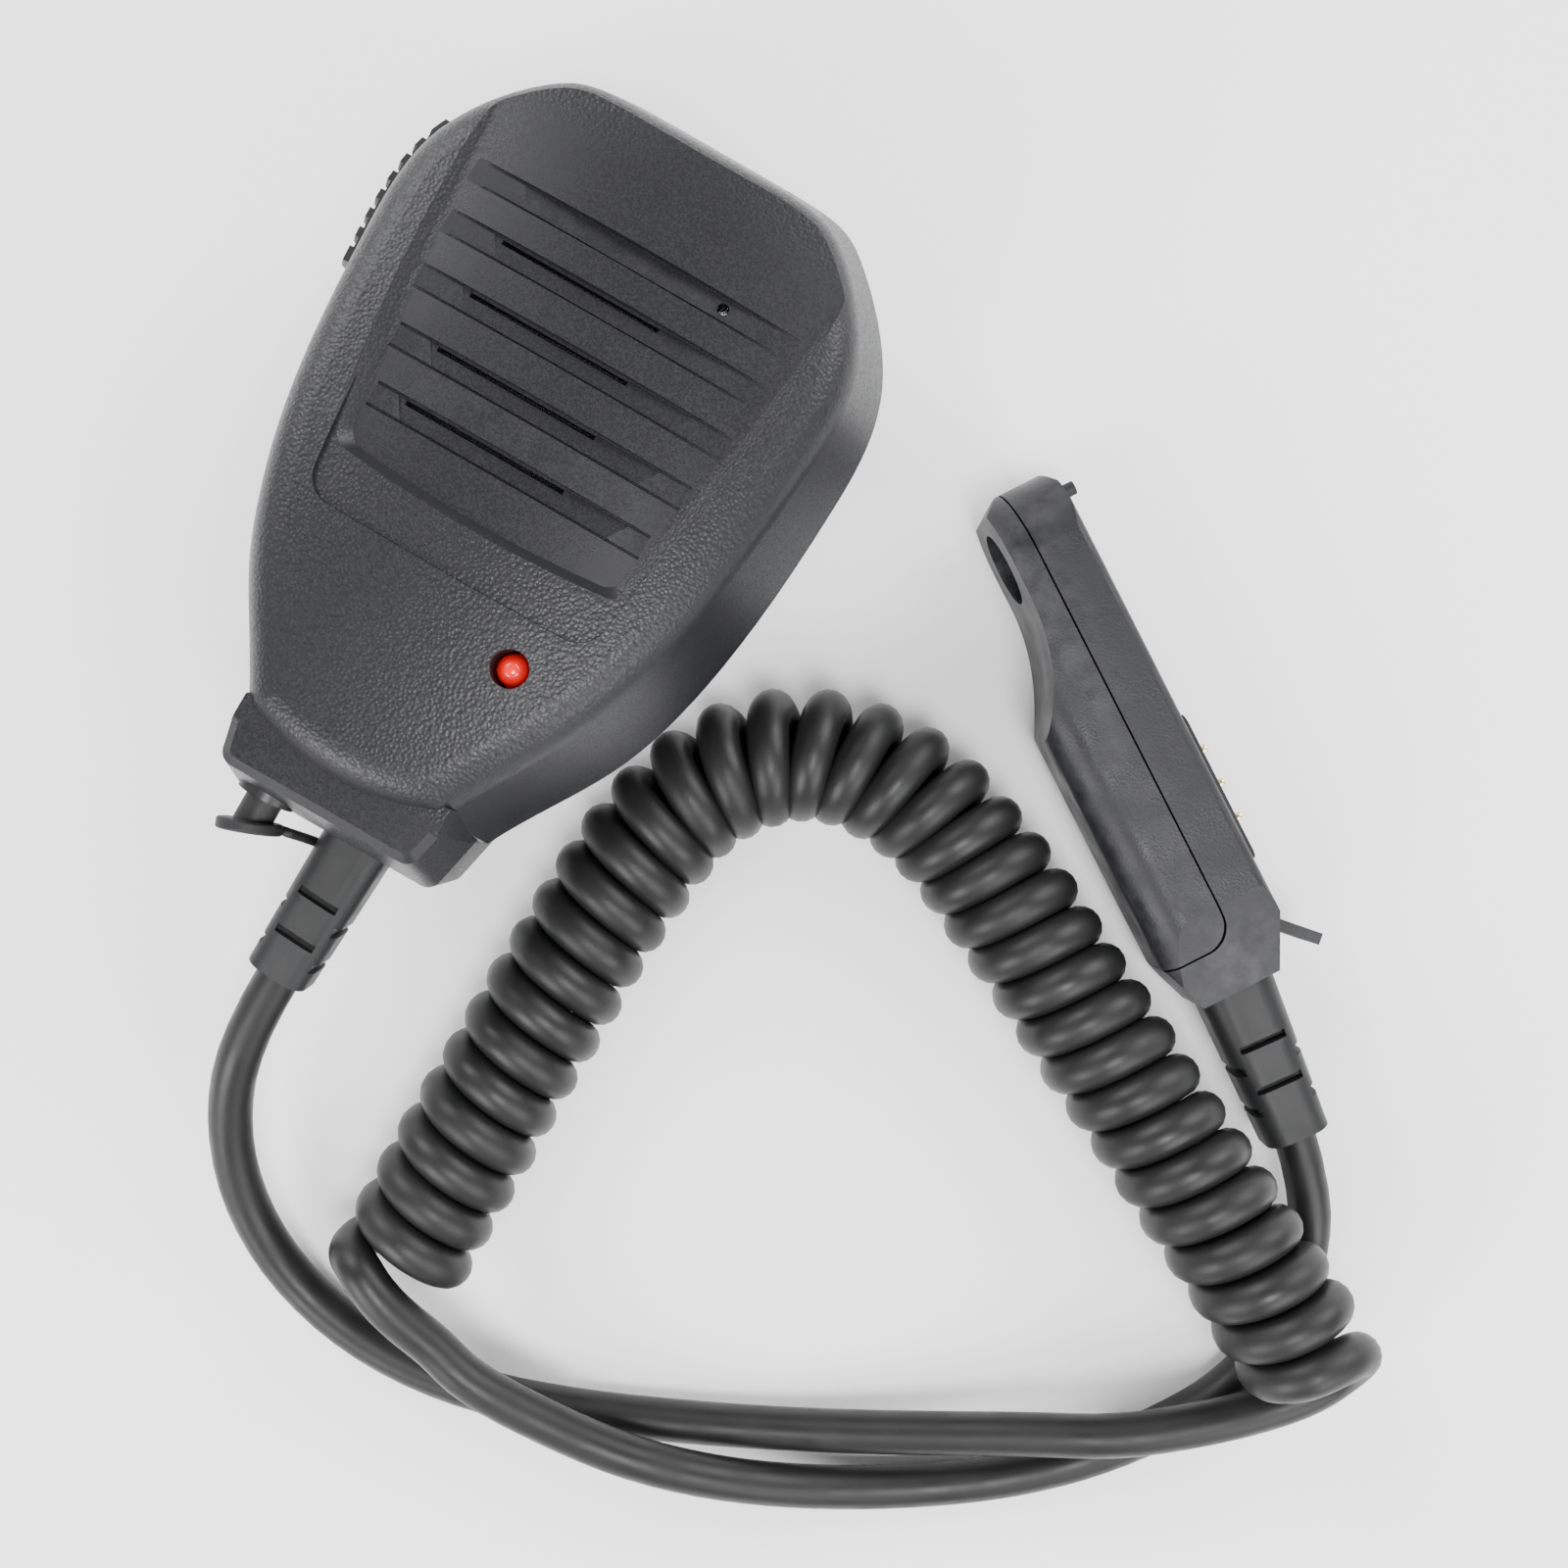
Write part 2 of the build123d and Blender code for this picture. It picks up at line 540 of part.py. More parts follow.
def jack_cover_strap():
    """Flat rubber strap from the cap, under the strain relief, to a foot pressed into the collar's wall."""
    x, z = JACK
    foot_x, foot_z = STRAP_FOOT
    points = [
        (x + 3.8, -42.3, z - 1.0), (foot_x - 2.6, -42.6, 17.5),
        (foot_x, -42.8, foot_z), (foot_x, -40.4, foot_z),
    ]
    path = FilletPolyline(*points, radius=(2.5, 1.4))
    strap = sweep(Plane(origin=path @ 0, z_dir=path % 0, x_dir=(0, 1, 0)) * Rectangle(0.9, 1.5), path)
    return strap + rod((foot_x, -40.5, foot_z), (foot_x, -38.0, foot_z), 0.7)


def relief_along():
    return (RELIEF_END - RELIEF_START).normalized()


def relief_back():
    return relief_along() * -1


def relief_body(length, start_r, end_r, slots, notches, start=0.0):
    """Tapered sleeve with slots in its faces and notches in its sides, so that it bends with the cord."""
    body = loft([
        Plane.XY.offset(start) * RectangleRounded(2 * start_r, 2 * start_r, 0.62 * start_r),
        Plane.XY.offset(length) * RectangleRounded(2 * end_r, 2 * end_r, 0.62 * end_r),
    ])
    gap = 0.9
    for at in slots:
        for side in (-1, 1):
            body = body - Pos(0, side * 4.6, at) * Box(0.62 * 2 * start_r, 4.2, gap)
    for at in notches:
        for side in (-1, 1):
            body = body - Pos(side * 4.9, 0, at) * Box(4.0, 12.0, gap * 1.2)
    return body


def mic_strain_relief():
    """Sleeve against the collar's end wall, a neck through it, a flange inside it, and the jacket inside."""
    length = (RELIEF_END - RELIEF_START).length
    place = Plane(origin=RELIEF_START, z_dir=relief_along(), x_dir=(1, 0, 0))
    sleeve = place * relief_body(length, 3.65, 3.35, (6.4, 11.2), (8.8, 13.4), start=-1.0)
    sleeve = sleeve - block((-20, 30), (COLLAR_END, 0), (0, 60))
    neck = Pos(0, 0, -3.1) * Cylinder(3.1, 5.0, align=LOW)
    neck = neck + Pos(0, 0, -4.7) * Cylinder(4.3, 1.6, align=LOW)
    neck = neck + Pos(0, 0, -13.0) * Cylinder(CORD_R, 9.5, align=LOW)
    return sleeve + place * neck


def cable_clamp():
    """Saddle round the cord's jacket, standing on the floor of the back shell."""
    middle = RELIEF_START + relief_back() * 10.0
    saddle = block((middle.X - 5.2, middle.X + 5.2), (-31.2, -28.0), (BACK_Z + 2.05, middle.Z + 4.0))
    saddle = fillet(saddle.edges().filter_by(Axis.Y).group_by(Axis.Z)[-1], 2.5)
    tunnel = rod(RELIEF_START + relief_back() * 4.5, RELIEF_START + relief_back() * 16, CORD_R + 0.05)
    return saddle - tunnel


def inner_leads():
    """Four thin wires from the end of the jacket down to the board."""
    start = RELIEF_START + relief_back() * 13.4
    leads = []
    for n, (dx, dz) in enumerate(((-0.9, 0.9), (0.9, 0.9), (-0.9, -0.9), (0.9, -0.9))):
        x = start.X + dx
        land = x + 1.6 * (n - 1.5)
        y = -23.0 + (n % 2) * 1.4
        high = start.Z + dz
        points = [(x, start.Y, high), (x, start.Y + 2.2, high), (land, y, 20.2), (land, y, BOARD_Z[1])]
        path = FilletPolyline(*points, radius=0.7)
        leads.append(sweep(Plane(origin=path @ 0, z_dir=path % 0) * Circle(0.4), path))
    return Compound(children=[lead.solid() for lead in leads])


# ---------------------------------------------------------------- belt clip
def clip_boss():
    """Round ratchet plate under the back shell, with the spigot that the clip turns on."""
    plate = disc(0, 0, (BASE_Z[1] + 0.1, BACK_Z), 9.5)
    plate = plate + disc(0, 0, (7.4, BASE_Z[1] + 0.2), 3.0)
    teeth = 24
    for n in range(teeth):
        notch = Rot(0, 0, n * 360 / teeth) * Pos(9.6, 0, BACK_Z - 0.65) * Box(1.2, 0.9, 0.7)
        plate = plate - notch
    return plate - disc(0, 0, (5, 12), 1.45)


def clip_screw():
    head = disc(0, 0, (BASE_Z[0] + 0.05, 7.4), 4.4)
    socket = RegularPolygon(1.3, 6)
    head = head - Pos(0, 0, 6.0) * extrude(socket, 1.2)
    return head + disc(0, 0, (7.3, BACK_Z + 4.6), 1.4)


def clip_base():
    """Turning plate with two ears for the hinge pin and a toothed jaw."""
    outline = Pos(0, -4.0) * RectangleRounded(2 * CLIP_HALF + 1, 35.0, 4.0)
    plate = extrude(Pos(0, 0, BASE_Z[0]) * outline, BASE_Z[1] - BASE_Z[0])
    plate = plate - disc(0, 0, (7.35, 9), 3.06) - disc(0, 0, (6, 7.45), 4.6)
    for side in (-1, 1):
        x = side * 8.0
        plate = plate + Pos(x, PIVOT_Y, PIVOT_Z) * Rot(0, 90, 0) * Cylinder(2.3, 1.8)
        plate = plate + block((x - 0.9, x + 0.9), (PIVOT_Y - 2.3, PIVOT_Y + 2.3), (PIVOT_Z, 6.8))
    plate = plate - rod((-12, PIVOT_Y, PIVOT_Z), (12, PIVOT_Y, PIVOT_Z), PIN_R + 0.01)
    for n in range(3):
        plate = plate - Pos(0, -20.0 + 1.6 * n, BASE_Z[0]) * Rot(45, 0, 0) * Box(18, 0.8, 0.8)
    return plate


def clip_arm():
    """Sprung lever: flat below, with a thumb end, two knuckles on the pin, and a jaw that meets the base."""
    outline = Pos(0, -3.0) * RectangleRounded(2 * CLIP_HALF, 38.0, 4.0)
    arm = extrude(outline, ARM_THICK)
    arm = arm - block((-20, 20), (PIVOT_Y - 3.4, PIVOT_Y + 3.4), (-1, 3))
    arm = arm + block((-6.6, 6.6), (PIVOT_Y - 3.5, PIVOT_Y + 3.5), (0, ARM_THICK))
    for side in (-1, 1):
        x = side * 5.4
        arm = arm + Pos(x, PIVOT_Y, PIVOT_Z) * Rot(0, 90, 0) * Cylinder(2.1, 2.4)
        arm = arm + block((x - 1.2, x + 1.2), (PIVOT_Y - 2.1, PIVOT_Y + 2.1), (ARM_THICK - 0.4, PIVOT_Z))
    arm = arm - rod((-12, PIVOT_Y, PIVOT_Z), (12, PIVOT_Y, PIVOT_Z), PIN_R + 0.06)
    arm = arm - block((-3.6, 3.6), (PIVOT_Y - 9.6, PIVOT_Y + 2.6), (1.6, 4))
    jaw_profile = [(0, -21.6, 1.0), (0, -16.4, 1.0), (0, -18.6, 6.2), (0, -21.6, 6.2)]
    jaw = extrude(make_face(Polyline(*jaw_profile, close=True)), 8.8, dir=(1, 0, 0), both=True)
    for n in range(2):
        jaw = jaw - Pos(0, -20.8 + 1.5 * n, 6.2) * Rot(45, 0, 0) * Box(30, 0.7, 0.7)
    for n in range(5):
        arm = arm - Pos(0, 11.6 + 1.0 * n, ARM_THICK) * Rot(45, 0, 0) * Box(15, 0.4, 0.4)
    return arm + jaw


def clip_pin():
    return rod((-8.95, PIVOT_Y, PIVOT_Z), (8.95, PIVOT_Y, PIVOT_Z), PIN_R)


def clip_spring():
    """Torsion spring round the pin, with one leg on the base and one on the arm."""
    wire = 0.35
    mean = 1.6
    turns = 4.5
    pitch = 0.95
    helix = Helix(pitch=pitch, height=pitch * turns, radius=mean)
    start = Plane(origin=helix @ 0, z_dir=helix % 0)
    coil = sweep(start * Circle(wire), helix, is_frenet=True)
    coil = Pos(-pitch * turns / 2, PIVOT_Y, PIVOT_Z) * Rot(0, 90, 0) * coil
    half = pitch * turns / 2
    leg = wire + 0.03
    start_y = PIVOT_Y + 0.2
    end_y = PIVOT_Y - 9.0
    upper = rod((half, start_y, PIVOT_Z + mean), (half, end_y, BASE_Z[0] - leg - 0.05), leg)
    lower = rod((-half, start_y, PIVOT_Z - mean), (-half, end_y, ARM_THICK + leg), leg)
    return coil + upper + lower


# ---------------------------------------------------------------- plug
def place_plug(shape):
    """From the plug's own frame (X out of its mating face, Y towards its fixing end) to where it lies."""
    towards_face = Vector(1, 0, 0).rotate(Axis.Z, PLUG_ANGLE)
    return Plane(origin=PLUG_ORIGIN, x_dir=towards_face, z_dir=(0, 0, 1)) * shape


def plug_outline():
    """Side view of the plug housing."""
    low = -PLUG_HALF
    foot = [(OUTER_X, -17.3), (-8.6, FOOT_END), (0.5, FOOT_END), (FACE_X, -17.0)]
    head = [(FACE_X, 34.7), (2.0, 36.8), (-3.2, 36.4), (NECK_X, 34.6), (NECK_X, 24.6)]
    rest = Polyline(*[(x, y, low) for x, y in foot + head])
    scoop = ThreePointArc((NECK_X, 24.6, low), (-7.1, 16.7, low), (OUTER_X, 10.3, low))
    back = Line((OUTER_X, 10.3, low), (OUTER_X, -17.3, low))
    return make_face([rest, scoop, back])


def plug_housing():
    """Whole housing: its side view, rounded in the end view, and tapered to a round head face-on."""
    side = extrude(plug_outline(), 2 * PLUG_HALF, dir=(0, 0, 1))
    section = Rectangle(FACE_X - OUTER_X, 2 * PLUG_HALF)
    section = fillet(section.vertices().sort_by(Axis.X)[:2], 4.2)
    section = fillet(section.vertices().sort_by(Axis.X)[-2:], 1.0)
    section = Plane.XZ * Pos((FACE_X + OUTER_X) / 2, 0) * section
    length = extrude(section, 60, both=True)
    head = Pos(0, PLUG_HOLE_Y, 0) * Rot(0, 90, 0) * Cylinder(PLUG_HALF, 60)
    foot_half = 5.0
    face_on = [(-20, PLUG_HOLE_Y, PLUG_HALF), (-20, -13.5, PLUG_HALF), (-20, FOOT_END - 1, foot_half)]
    mirrored = [(x, y, -z) for x, y, z in reversed(face_on)]
    broad = extrude(make_face(Polyline(*face_on, *mirrored, close=True)), 40, dir=(1, 0, 0)) + head
    return side & length & broad


def cover_region(gap):
    """Where the cover is: the outer half, down to a rounded corner near the foot."""
    edge = PARTING_X - gap
    end = -17.8 + gap
    corner = [(-30, end), (edge, end), (edge, 60), (-30, 60)]
    face = make_face(Polyline(*[(x, y, -20) for x, y in corner], close=True))
    face = fillet(face.vertices().sort_by(Axis.X)[-2:].sort_by(Axis.Y)[:1], 3.0)
    return extrude(face, 40, dir=(0, 0, 1))


def plug_cavity():
    return block((OUTER_X + 2.2, FACE_X - 1.8), (-15.6, 9.0), (-5.6, 5.6))


def cross_rod(x, y, z, radius):
    """Cylinder through the plug's thickness, between two X limits."""
    return rod((x[0], y, z), (x[1], y, z), radius)


def plug_base():
    """Mating half, with the window for the contacts, the fixing hole, the locating post and the hook."""
    body = plug_housing() - cover_region(0) - plug_cavity()
    body = body - block((FACE_X - 3, FACE_X + 1), CARRIER_Y, (-CARRIER_Z, CARRIER_Z))
    groove_y = (CARRIER_Y[0] - 1.5, CARRIER_Y[1] + 1.5)
    groove_z = (-CARRIER_Z - 1.3, CARRIER_Z + 1.3)
    body = body - block((FACE_X - 0.8, FACE_X + 1), groove_y, groove_z)
    body = body - cross_rod((-20, 0.3), PLUG_HOLE_Y, 0, HEAD_R) - cross_rod((-20, 20), PLUG_HOLE_Y, 0, HOLE_R)
    body = body + cross_rod((FACE_X - 0.5, FACE_X + 2.3), POST_Y, 0, 0.8)
    hook = Pos(FACE_X - 1.6, -17.4, 0) * Rot(0, 0, -46) * block((0, 6.8), (-0.65, 0.65), (-4.0, 4.0))
    body = body + (hook - cover_region(0) - plug_cavity())
    body = body - rod((RELIEF_X, -30, 0), (RELIEF_X, -14, 0), 3.3)
    return body - rod((RELIEF_X, -19.2, 0), (RELIEF_X, -14, 0), 4.3)


def plug_cover():
    body = (plug_housing() & cover_region(PARTING_GAP)) - plug_cavity()
    body = body - cross_rod((-20, 0), PLUG_HOLE_Y, 0, HEAD_R)
    return body - rod((RELIEF_X, -19.2, 0), (RELIEF_X, -14, 0), 4.3)


def contact_carrier():
    """Insulating block that holds the contacts in the window of the mating face."""
    gap = 0.05
    y = (CARRIER_Y[0] + gap, CARRIER_Y[1] - gap)
    body = block((-0.6, FACE_X + 0.3), y, (-CARRIER_Z + gap, CARRIER_Z - gap))
    for y in PIN_ROWS:
        for z in (-PIN_SPREAD, PIN_SPREAD):
            body = body - cross_rod((-2, 6), y, z, CONTACT_R + 0.05)
    return body


def contact_pins():
    """Six sprung pins with round tips."""
    pins = []
    tip = FACE_X + 1.9
    for y in PIN_ROWS:
        for z in (-PIN_SPREAD, PIN_SPREAD):
            pin = cross_rod((-2.2, tip - CONTACT_R), y, z, CONTACT_R)
            pin = pin + Pos(tip - CONTACT_R, y, z) * Sphere(CONTACT_R)
            pins.append(pin.solid())
    return Compound(children=pins)


def plug_seal():
    """Rubber ring round the contacts, proud of the mating face."""
    x = (FACE_X - 0.75, FACE_X + 0.5)
    outer = block(x, (CARRIER_Y[0] - 1.4, CARRIER_Y[1] + 1.4), (-CARRIER_Z - 1.2, CARRIER_Z + 1.2))
    outer = fillet(outer.edges().filter_by(Axis.X), 1.2)
    y = (CARRIER_Y[0] - 0.1, CARRIER_Y[1] + 0.1)
    return outer - block((0, 6), y, (-CARRIER_Z - 0.1, CARRIER_Z + 0.1))


def plug_strain_relief():
    """Sleeve that leans towards the floor, with its neck, its flange and the jacket inside the housing."""
    start = Vector(RELIEF_X + 0.4, FOOT_END, 0)
    end = Vector(RELIEF_X - 0.6, RELIEF_TIP, -1.6)
    tilted = Plane(origin=start, z_dir=end - start, x_dir=(1, 0, 0))
    sleeve = tilted * relief_body((end - start).length, 4.3, 3.6, (6.2, 11.2), (8.7, 13.7), start=-1.0)
    sleeve = sleeve - block((-20, 20), (FOOT_END, 0), (-20, 20))
    neck = rod((RELIEF_X, FOOT_END - 0.8, 0), (RELIEF_X, FOOT_END + 4.0, 0), 3.2)
    neck = neck + rod((RELIEF_X, FOOT_END + 3.9, 0), (RELIEF_X, FOOT_END + 5.4, 0), 4.2)
    return sleeve + neck + rod((RELIEF_X, FOOT_END + 5.3, 0), (RELIEF_X, FOOT_END + 9.0, 0), CORD_R)


def plug_leads():
    """Wires from the end of the jacket to the back of the contact carrier."""
    leads = []
    for dx, y in ((-0.9, -0.4), (0.9, -4.5)):
        for dz in (-0.9, 0.9):
            x = RELIEF_X + dx
            start_y = FOOT_END + 9.05
            points = [(x, start_y, dz), (x, start_y + 2.5, dz), (x, y, 1.4 * dz), (-0.62, y, 1.4 * dz)]
            path = FilletPolyline(*points, radius=0.9)
            leads.append(sweep(Plane(origin=path @ 0, z_dir=path % 0) * Circle(0.35), path).solid())
    return Compound(children=leads)


# ---------------------------------------------------------------- cord
def corner_radii(points):
    """Largest arcs that the runs leave room for, one for each corner of the route."""
    radii = []
    for before, here, after in zip(points, points[1:], points[2:]):
        run_in = Vector(*here) - Vector(*before)
        run_out = Vector(*after) - Vector(*here)
        turn = math.radians(run_in.get_angle(run_out))
        radii.append(0.45 * min(run_in.length, run_out.length) / math.tan(turn / 2))
    return radii


def tube(node, points, radius):
    """Round tube along straight runs joined by tangent arcs."""
    radii = corner_radii(points)
    path = FilletPolyline(*points, radius=radii)
    solid = sweep(Plane(origin=path @ 0, z_dir=path % 0) * Circle(radius), path)
    expected = math.pi * radius**2 * path.length
    print(node, "length", round(path.length, 1), "volume check", round(solid.volume / expected, 4))
    print("  radii", [round(r, 1) for r in radii])
    return solid


def main():
    nodes = {
        "front_shell": front_shell(),
        "back_shell": back_shell(),
        "shell_gasket": shell_gasket(),
        "housing_screws": housing_screws(),
        "grille_cloth": grille_cloth(),
        "speaker_frame": speaker_frame(),
        "speaker_magnet": speaker_magnet(),
        "speaker_cone": speaker_cone(),
        "speaker_surround": speaker_surround(),
        "mic_boot": mic_boot(),
        "mic_capsule": mic_capsule(),
        "led_lens": led_lens(),
        "circuit_board": circuit_board(),
        "ptt_key": ptt_key(),
        "ptt_plunger": ptt_plunger(),
        "ptt_switch": ptt_switch(),
        "earphone_jack": earphone_jack(),
        "jack_cover": jack_cover(),
        "jack_cover_strap": jack_cover_strap(),
        "mic_strain_relief": mic_strain_relief(),
        "cable_clamp": cable_clamp(),
        "inner_leads": inner_leads(),
        "clip_boss": clip_boss(),
        "clip_screw": clip_screw(),
        "clip_base": clip_base(),
        "clip_arm": clip_arm(),
        "clip_pin": clip_pin(),
        "clip_spring": clip_spring(),
        "plug_base": place_plug(plug_base()),
        "plug_cover": place_plug(plug_cover()),
        "contact_carrier": place_plug(contact_carrier()),
        "contact_pins": place_plug(contact_pins()),
        "plug_seal": place_plug(plug_seal()),
        "plug_strain_relief": place_plug(plug_strain_relief()),
        "plug_leads": place_plug(plug_leads()),
        "cord_mic_end": tube("cord_mic_end", ROUTE_MIC, CORD_R),
        "cord_coil": tube("cord_coil", ROUTE_COIL, COIL_R),
        "cord_plug_end": tube("cord_plug_end", ROUTE_PLUG, CORD_R),
    }
    for node, shape in nodes.items():
        save(node, shape)


main()
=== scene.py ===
import json
import math

import bmesh
import bpy
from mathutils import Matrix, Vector


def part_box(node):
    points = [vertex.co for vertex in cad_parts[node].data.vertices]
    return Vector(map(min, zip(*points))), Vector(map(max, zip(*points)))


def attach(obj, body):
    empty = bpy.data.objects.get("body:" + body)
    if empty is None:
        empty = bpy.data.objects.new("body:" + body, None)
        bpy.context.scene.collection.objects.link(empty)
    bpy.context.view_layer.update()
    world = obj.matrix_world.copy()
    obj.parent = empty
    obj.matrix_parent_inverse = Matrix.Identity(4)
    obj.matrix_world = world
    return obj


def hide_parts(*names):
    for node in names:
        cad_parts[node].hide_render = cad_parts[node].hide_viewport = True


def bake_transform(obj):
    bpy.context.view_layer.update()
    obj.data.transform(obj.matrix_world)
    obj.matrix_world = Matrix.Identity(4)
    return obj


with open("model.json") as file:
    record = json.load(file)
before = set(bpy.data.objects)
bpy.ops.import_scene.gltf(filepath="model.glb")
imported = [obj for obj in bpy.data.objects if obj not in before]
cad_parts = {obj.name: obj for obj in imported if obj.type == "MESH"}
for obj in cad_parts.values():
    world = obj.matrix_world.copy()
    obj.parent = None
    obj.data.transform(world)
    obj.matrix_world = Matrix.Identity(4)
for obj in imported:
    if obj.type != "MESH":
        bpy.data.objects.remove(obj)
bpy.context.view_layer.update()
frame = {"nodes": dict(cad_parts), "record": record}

MM = 0.001
HOUSING = "housing"
nodes = frame["nodes"]
scene = bpy.context.scene


# ---------------------------------------------------------------- camera
EYE_HEIGHT = 0.2
VIEW_TURN = math.radians(29.8)
VIEW_LENS = 40.05
VIEW_CENTRE = (0.0371, -0.0131)

camera_data = bpy.data.cameras.new("camera")
camera_data.lens = VIEW_LENS
camera_data.sensor_width = 36.0
camera_data.clip_start = 0.005
camera = bpy.data.objects.new("camera", camera_data)
camera.location = (*VIEW_CENTRE, EYE_HEIGHT)
camera.rotation_euler = (0, 0, VIEW_TURN)
scene.collection.objects.link(camera)
scene.camera = camera


# ---------------------------------------------------------------- floor, light and world
def soft_light(name, size, power, place, target):
    """Square area light that faces a point."""
    data = bpy.data.lights.new(name, "AREA")
    data.shape = "SQUARE"
    data.size = size
    data.energy = power
    lamp = bpy.data.objects.new(name, data)
    lamp.location = place
    lamp.rotation_euler = (Vector(target) - Vector(place)).to_track_quat("-Z", "Y").to_euler()
    scene.collection.objects.link(lamp)


MIDDLE = (0.04, -0.02, 0.01)
soft_light("key_light", 0.26, 6.0, (0.21, -0.14, 0.75), MIDDLE)
soft_light("right_light", 0.45, 4.5, (0.62, -0.22, 0.42), MIDDLE)
soft_light("left_light", 0.5, 6.0, (-0.6, 0.25, 0.42), MIDDLE)
soft_light("back_light", 0.5, 6.0, (0.3, 0.62, 0.42), MIDDLE)
soft_light("foot_light", 0.4, 6.0, (-0.15, -0.65, 0.42), MIDDLE)

# The sky is white low down and darker overhead.
world = bpy.data.worlds.new("studio")
world.use_nodes = True
background = world.node_tree.nodes["Background"]
background.inputs["Strength"].default_value = 1.0
sky_way = world.node_tree.nodes.new("ShaderNodeTexCoord")
sky_parts = world.node_tree.nodes.new("ShaderNodeSeparateXYZ")
sky = world.node_tree.nodes.new("ShaderNodeValToRGB")
sky.color_ramp.elements[0].position = 0.45
sky.color_ramp.elements[0].color = (1.0, 1.0, 1.0, 1.0)
sky.color_ramp.elements[1].position = 0.95
sky.color_ramp.elements[1].color = (0.3, 0.3, 0.3, 1.0)
world.node_tree.links.new(sky_way.outputs["Generated"], sky_parts.inputs["Vector"])
world.node_tree.links.new(sky_parts.outputs["Z"], sky.inputs["Fac"])
world.node_tree.links.new(sky.outputs["Color"], background.inputs["Color"])
scene.world = world

FLOOR_HALF = 8.0
FLOOR_GAP = 0.05 * MM
floor_mesh = bpy.data.meshes.new("floor")
corners = [(-1, -1), (1, -1), (1, 1), (-1, 1)]
floor_mesh.from_pydata([(x * FLOOR_HALF, y * FLOOR_HALF, 0) for x, y in corners], [], [(0, 1, 2, 3)])
floor = bpy.data.objects.new("floor", floor_mesh)
floor.location.z = -FLOOR_GAP
scene.collection.objects.link(floor)


# ---------------------------------------------------------------- materials
COLOUR_A, COLOUR_B, COLOUR_MIXED = 6, 7, 2  # colour sockets of a mix node


